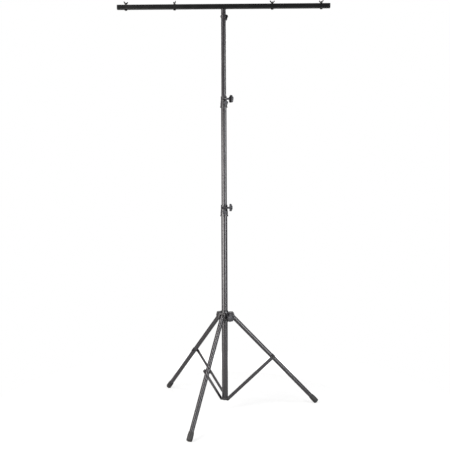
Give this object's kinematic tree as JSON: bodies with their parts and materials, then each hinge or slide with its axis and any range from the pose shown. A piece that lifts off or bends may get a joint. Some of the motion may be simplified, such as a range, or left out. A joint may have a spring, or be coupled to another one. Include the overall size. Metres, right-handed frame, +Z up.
{
  "type": "light stand",
  "caption": "Tall folding light stand: a telescopic round mast on a braced tripod, with height clamps and a square crossbar whose bolts and wing nuts carry stage lights.",
  "frame": {"origin": "on the floor, at the centre of the circle of the three feet, under the mast's axis", "axes": "+Z up the mast; +X from the mast towards leg 1; the crossbar stands turned 11.65 degrees clockwise from X, seen from above"},
  "size_m": [1.1804, 0.9846, 2.3364],
  "materials": {
    "powder_coat": "semi-gloss black powder coat on steel tube, pressed steel and castings",
    "bar_enamel": "satin black enamel on square steel tube",
    "knob_nylon": "black moulded glass-filled nylon",
    "guide_nylon": "black moulded nylon",
    "foot_rubber": "matte black moulded rubber",
    "fastener_steel": "blackened steel, as black oxide or black zinc"
  },
  "bodies": {
    "base": {"base_tube": "powder_coat", "foot_casting": "powder_coat", "lower_clamp": "powder_coat", "lower_clamp_bush": "guide_nylon", "lower_clamp_nut": "fastener_steel"},
    "lower_clamp_knob": {"lower_clamp_knob": "knob_nylon", "lower_clamp_screw": "fastener_steel"},
    "lower_lock_knob": {"lower_lock_knob": "knob_nylon"},
    "hub": {"hub_casting": "powder_coat", "hub_bush": "guide_nylon", "hub_pivot_pin_1": "fastener_steel", "hub_pivot_pin_2": "fastener_steel", "hub_pivot_pin_3": "fastener_steel"},
    "hub_knob": {"hub_knob": "knob_nylon", "hub_screw": "fastener_steel"},
    "leg_1": {"leg_tube_1": "powder_coat", "rubber_foot_1": "foot_rubber", "leg_strap_1": "powder_coat", "strap_bolt_1": "fastener_steel", "strap_nut_1": "fastener_steel"},
    "leg_2": {"leg_tube_2": "powder_coat", "rubber_foot_2": "foot_rubber", "leg_strap_2": "powder_coat", "strap_bolt_2": "fastener_steel", "strap_nut_2": "fastener_steel"},
    "leg_3": {"leg_tube_3": "powder_coat", "rubber_foot_3": "foot_rubber", "leg_strap_3": "powder_coat", "strap_bolt_3": "fastener_steel", "strap_nut_3": "fastener_steel"},
    "brace_1": {"brace_1": "powder_coat", "brace_pin_1": "fastener_steel"},
    "brace_2": {"brace_2": "powder_coat", "brace_pin_2": "fastener_steel"},
    "brace_3": {"brace_3": "powder_coat", "brace_pin_3": "fastener_steel"},
    "mid": {"mid_tube": "powder_coat", "mid_tube_plug": "guide_nylon", "upper_clamp": "powder_coat", "upper_clamp_bush": "guide_nylon", "upper_clamp_nut": "fastener_steel"},
    "upper_clamp_knob": {"upper_clamp_knob": "knob_nylon", "upper_clamp_screw": "fastener_steel"},
    "upper_lock_knob": {"upper_lock_knob": "knob_nylon"},
    "top": {"top_tube": "powder_coat", "top_tube_plug": "guide_nylon"},
    "bar_knob": {"bar_knob": "knob_nylon", "bar_screw": "fastener_steel"},
    "bar": {"crossbar": "bar_enamel", "bar_spigot": "bar_enamel", "bar_end_cap_1": "guide_nylon", "bar_end_cap_2": "guide_nylon", "light_bolt_1": "fastener_steel", "light_bolt_2": "fastener_steel", "light_bolt_3": "fastener_steel", "light_bolt_4": "fastener_steel"},
    "wing_nut_1": {"wing_nut_1": "fastener_steel"},
    "wing_nut_2": {"wing_nut_2": "fastener_steel"},
    "wing_nut_3": {"wing_nut_3": "fastener_steel"},
    "wing_nut_4": {"wing_nut_4": "fastener_steel"}
  },
  "joints": [
    {"name": "hub_slide", "type": "slide", "parent": "base", "child": "hub", "axis": [0, 0, 1], "range_m": [0, 0.2166]},
    {"name": "leg_fold_1", "type": "hinge", "parent": "hub", "child": "leg_1", "pos_m": [0.043, 0, 0.5463], "axis": [0, 1, 0], "range_deg": [0, 40.6]},
    {"name": "leg_fold_2", "type": "hinge", "parent": "hub", "child": "leg_2", "pos_m": [-0.0215, 0.03724, 0.5463], "axis": [-0.866, -0.5, 0], "range_deg": [0, 40.6]},
    {"name": "leg_fold_3", "type": "hinge", "parent": "hub", "child": "leg_3", "pos_m": [-0.0215, -0.03724, 0.5463], "axis": [0.866, -0.5, 0], "range_deg": [0, 40.6]},
    {"name": "brace_fold_1", "type": "hinge", "parent": "leg_1", "child": "brace_1", "pos_m": [0.28278, 0, 0.29451], "axis": [0, 1, 0], "range_deg": [-82.1, 0]},
    {"name": "brace_fold_2", "type": "hinge", "parent": "leg_2", "child": "brace_2", "pos_m": [-0.14139, 0.2449, 0.29451], "axis": [-0.866, -0.5, 0], "range_deg": [-82.1, 0]},
    {"name": "brace_fold_3", "type": "hinge", "parent": "leg_3", "child": "brace_3", "pos_m": [-0.14139, -0.2449, 0.29451], "axis": [0.866, -0.5, 0], "range_deg": [-82.1, 0]},
    {"name": "mid_slide", "type": "slide", "parent": "base", "child": "mid", "axis": [0, 0, 1], "range_m": [-0.547, 0.3]},
    {"name": "top_slide", "type": "slide", "parent": "mid", "child": "top", "axis": [0, 0, 1], "range_m": [-0.41, 0.35]},
    {"name": "bar_swivel", "type": "hinge", "parent": "top", "child": "bar", "pos_m": [0, 0, 2.3056], "axis": [0, 0, 1], "continuous": true},
    {"name": "lower_clamp_turn", "type": "hinge", "parent": "base", "child": "lower_clamp_knob", "pos_m": [0.00429, -0.02696, 1.173], "axis": [0.9903, -0.1392, 0], "continuous": true},
    {"name": "lower_lock_turn", "type": "hinge", "parent": "base", "child": "lower_lock_knob", "pos_m": [-0.00341, -0.02426, 1.149], "axis": [-0.1392, -0.9903, 0], "continuous": true},
    {"name": "hub_knob_turn", "type": "hinge", "parent": "hub", "child": "hub_knob", "pos_m": [0.016, -0.02771, 0.5403], "axis": [0.5, -0.866, 0], "continuous": true},
    {"name": "upper_clamp_turn", "type": "hinge", "parent": "mid", "child": "upper_clamp_knob", "pos_m": [0.01359, -0.02145, 1.789], "axis": [0.9703, 0.2419, 0], "continuous": true},
    {"name": "upper_lock_turn", "type": "hinge", "parent": "mid", "child": "upper_lock_knob", "pos_m": [0.00544, -0.02183, 1.7665], "axis": [0.2419, -0.9703, 0], "continuous": true},
    {"name": "bar_knob_turn", "type": "hinge", "parent": "top", "child": "bar_knob", "pos_m": [0.00695, 0.0214, 2.255], "axis": [0.309, 0.9511, 0], "continuous": true},
    {"name": "wing_nut_turn_1", "type": "hinge", "parent": "bar", "child": "wing_nut_1", "pos_m": [-0.53867, 0.11106, 2.3184], "axis": [0, 0, 1], "continuous": true},
    {"name": "wing_nut_turn_2", "type": "hinge", "parent": "bar", "child": "wing_nut_2", "pos_m": [-0.26933, 0.05553, 2.3184], "axis": [0, 0, 1], "continuous": true},
    {"name": "wing_nut_turn_3", "type": "hinge", "parent": "bar", "child": "wing_nut_3", "pos_m": [0.26933, -0.05553, 2.3184], "axis": [0, 0, 1], "continuous": true},
    {"name": "wing_nut_turn_4", "type": "hinge", "parent": "bar", "child": "wing_nut_4", "pos_m": [0.53867, -0.11106, 2.3184], "axis": [0, 0, 1], "continuous": true}
  ],
  "couplings": [
    {"joint": "leg_fold_1", "follows": "hub_slide", "rad_per_m": 3.2715},
    {"joint": "leg_fold_2", "follows": "hub_slide", "rad_per_m": 3.2715},
    {"joint": "leg_fold_3", "follows": "hub_slide", "rad_per_m": 3.2715},
    {"joint": "brace_fold_1", "follows": "hub_slide", "rad_per_m": -6.6139},
    {"joint": "brace_fold_2", "follows": "hub_slide", "rad_per_m": -6.6139},
    {"joint": "brace_fold_3", "follows": "hub_slide", "rad_per_m": -6.6139}
  ]
}
